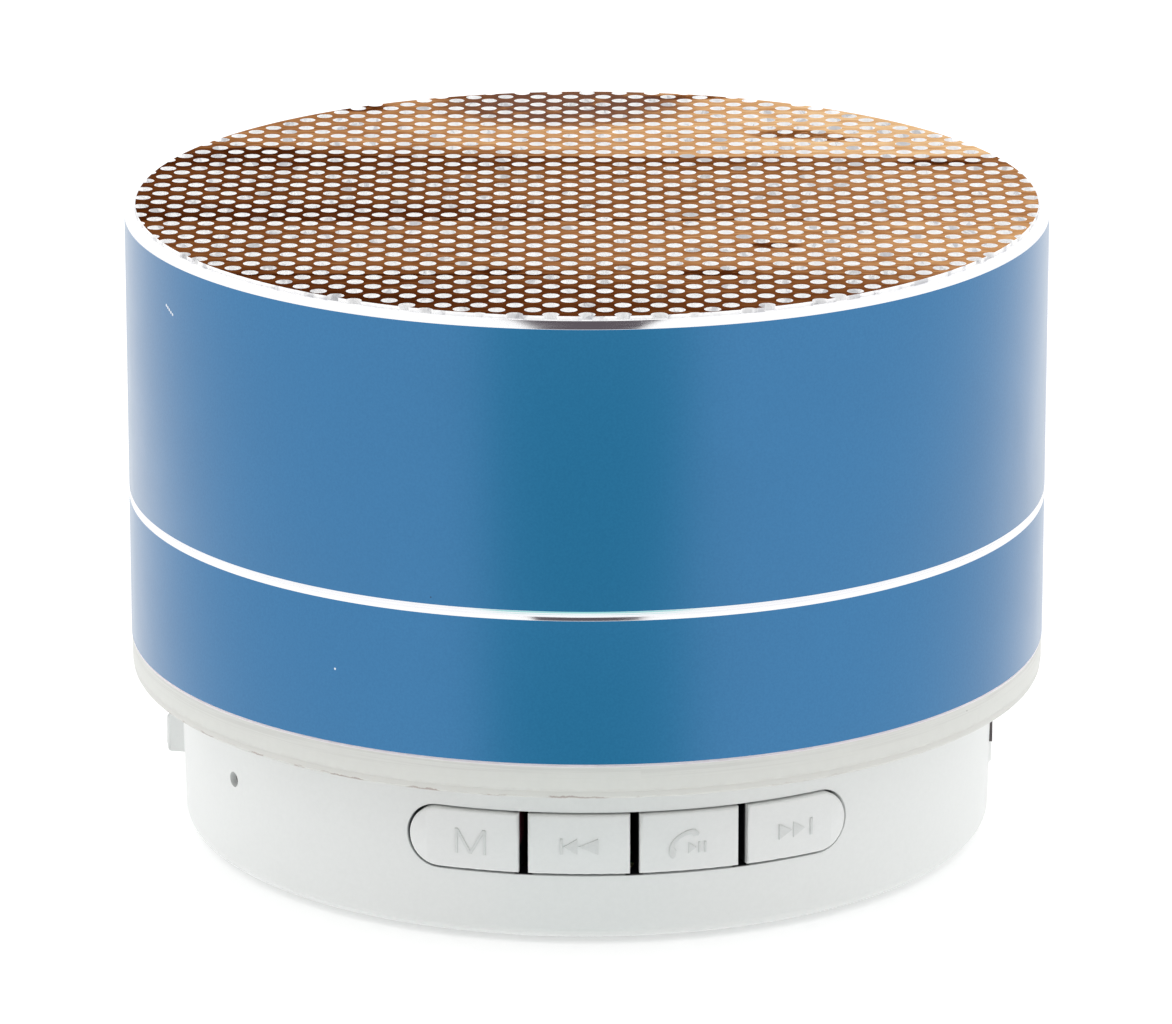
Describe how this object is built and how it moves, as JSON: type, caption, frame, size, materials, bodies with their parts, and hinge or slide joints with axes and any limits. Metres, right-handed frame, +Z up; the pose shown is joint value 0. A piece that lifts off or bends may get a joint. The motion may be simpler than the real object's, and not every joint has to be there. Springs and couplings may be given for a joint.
{
  "type": "portable wireless speaker",
  "caption": "Short cylindrical portable speaker: bevelled metal sleeve, punched wood-print grille on top, light ring, and a narrower white base with keys, slide switch and sockets.",
  "frame": {"origin": "centre of the foot pad's underside, on the surface the speaker stands on", "axes": "+Z up along the cylinder's axis, -Y through the middle of the key strip, the front"},
  "size_m": [0.06, 0.06, 0.042],
  "materials": {
    "anodised_blue": "satin anodised, bevel and groove cut bright",
    "printed_grille": "wood-plank print on punched metal",
    "white_cloth": "woven",
    "light_plastic": "milky, lets light through",
    "white_plastic": "satin",
    "key_plastic": "satin",
    "rubber": "matt",
    "foam": "open-cell foam",
    "frame_plastic": "matt",
    "pressed_steel": "zinc plated",
    "ferrite": "ground ferrite",
    "paper_cone": "pressed paper",
    "cloth_spider": "resin-treated cloth",
    "kapton_coil": "copper winding on a film former",
    "board_green": "solder mask",
    "black_plastic": "moulded",
    "bright_steel": "plated",
    "screw_steel": "zinc plated",
    "chip_black": "moulded package",
    "lamp_clear": "clear resin",
    "capacitor_can": "bare can",
    "cell_foil": "foil pouch",
    "foam_tape": "double-sided foam tape",
    "wire_red": "silicone sleeve",
    "wire_black": "silicone sleeve",
    "copper_braid": "braided",
    "terminal_board": "phenolic"
  },
  "bodies": {
    "speaker_body": {"foot_pad": "rubber", "base_shell": "white_plastic", "light_ring": "light_plastic", "body_sleeve": "anodised_blue", "grille": "printed_grille", "dust_scrim": "white_cloth", "inner_frame": "frame_plastic", "foam_gasket": "foam", "driver_basket": "pressed_steel", "top_plate": "pressed_steel", "magnet": "ferrite", "pole_piece": "pressed_steel", "surround": "rubber", "spider": "cloth_spider", "terminal_strip": "terminal_board", "tact_switches": "black_plastic", "slide_switch": "bright_steel", "main_board": "board_green", "audio_jack": "black_plastic", "usb_shell": "bright_steel", "usb_tongue": "black_plastic", "card_base": "black_plastic", "card_cover": "bright_steel", "mic_capsule": "bright_steel", "mic_boot": "rubber", "main_chip": "chip_black", "amplifier_chip": "chip_black", "crystal": "bright_steel", "inductor": "ferrite", "passives": "chip_black", "capacitors": "capacitor_can", "status_lamps": "lamp_clear", "battery_cell": "cell_foil", "battery_tape": "foam_tape", "battery_wire_positive": "wire_red", "battery_wire_negative": "wire_black", "speaker_wire_positive": "wire_red", "speaker_wire_negative": "wire_black", "tinsel_leads": "copper_braid", "case_screws": "screw_steel", "board_screws": "screw_steel", "driver_screws": "screw_steel"},
    "mode_key_body": {"mode_key": "key_plastic", "mode_plunger": "black_plastic"},
    "previous_key_body": {"previous_key": "key_plastic", "previous_plunger": "black_plastic"},
    "play_key_body": {"play_key": "key_plastic", "play_plunger": "black_plastic"},
    "next_key_body": {"next_key": "key_plastic", "next_plunger": "black_plastic"},
    "power_knob_body": {"power_knob": "white_plastic"},
    "cone_body": {"cone": "paper_cone", "dust_cap": "paper_cone", "voice_coil": "kapton_coil"}
  },
  "joints": [
    {"name": "mode_key_press", "type": "slide", "parent": "speaker_body", "child": "mode_key_body", "axis": [0.3997, 0.9166, 0], "range_m": [0, 0.00035], "stiffness_N_per_m": 2500},
    {"name": "previous_key_press", "type": "slide", "parent": "speaker_body", "child": "previous_key_body", "axis": [0.131, 0.9914, 0], "range_m": [0, 0.00035], "stiffness_N_per_m": 2500},
    {"name": "play_key_press", "type": "slide", "parent": "speaker_body", "child": "play_key_body", "axis": [-0.131, 0.9914, 0], "range_m": [0, 0.00035], "stiffness_N_per_m": 2500},
    {"name": "next_key_press", "type": "slide", "parent": "speaker_body", "child": "next_key_body", "axis": [-0.3997, 0.9166, 0], "range_m": [0, 0.00035], "stiffness_N_per_m": 2500},
    {"name": "power_switch_slide", "type": "slide", "parent": "speaker_body", "child": "power_knob_body", "axis": [0.309, 0.9511, 0], "range_m": [0, 0.002]},
    {"name": "cone_travel", "type": "slide", "parent": "speaker_body", "child": "cone_body", "axis": [0, 0, 1], "range_m": [-0.0006, 0.0006], "stiffness_N_per_m": 1200, "deforming": ["surround", "spider", "tinsel_leads"]}
  ]
}
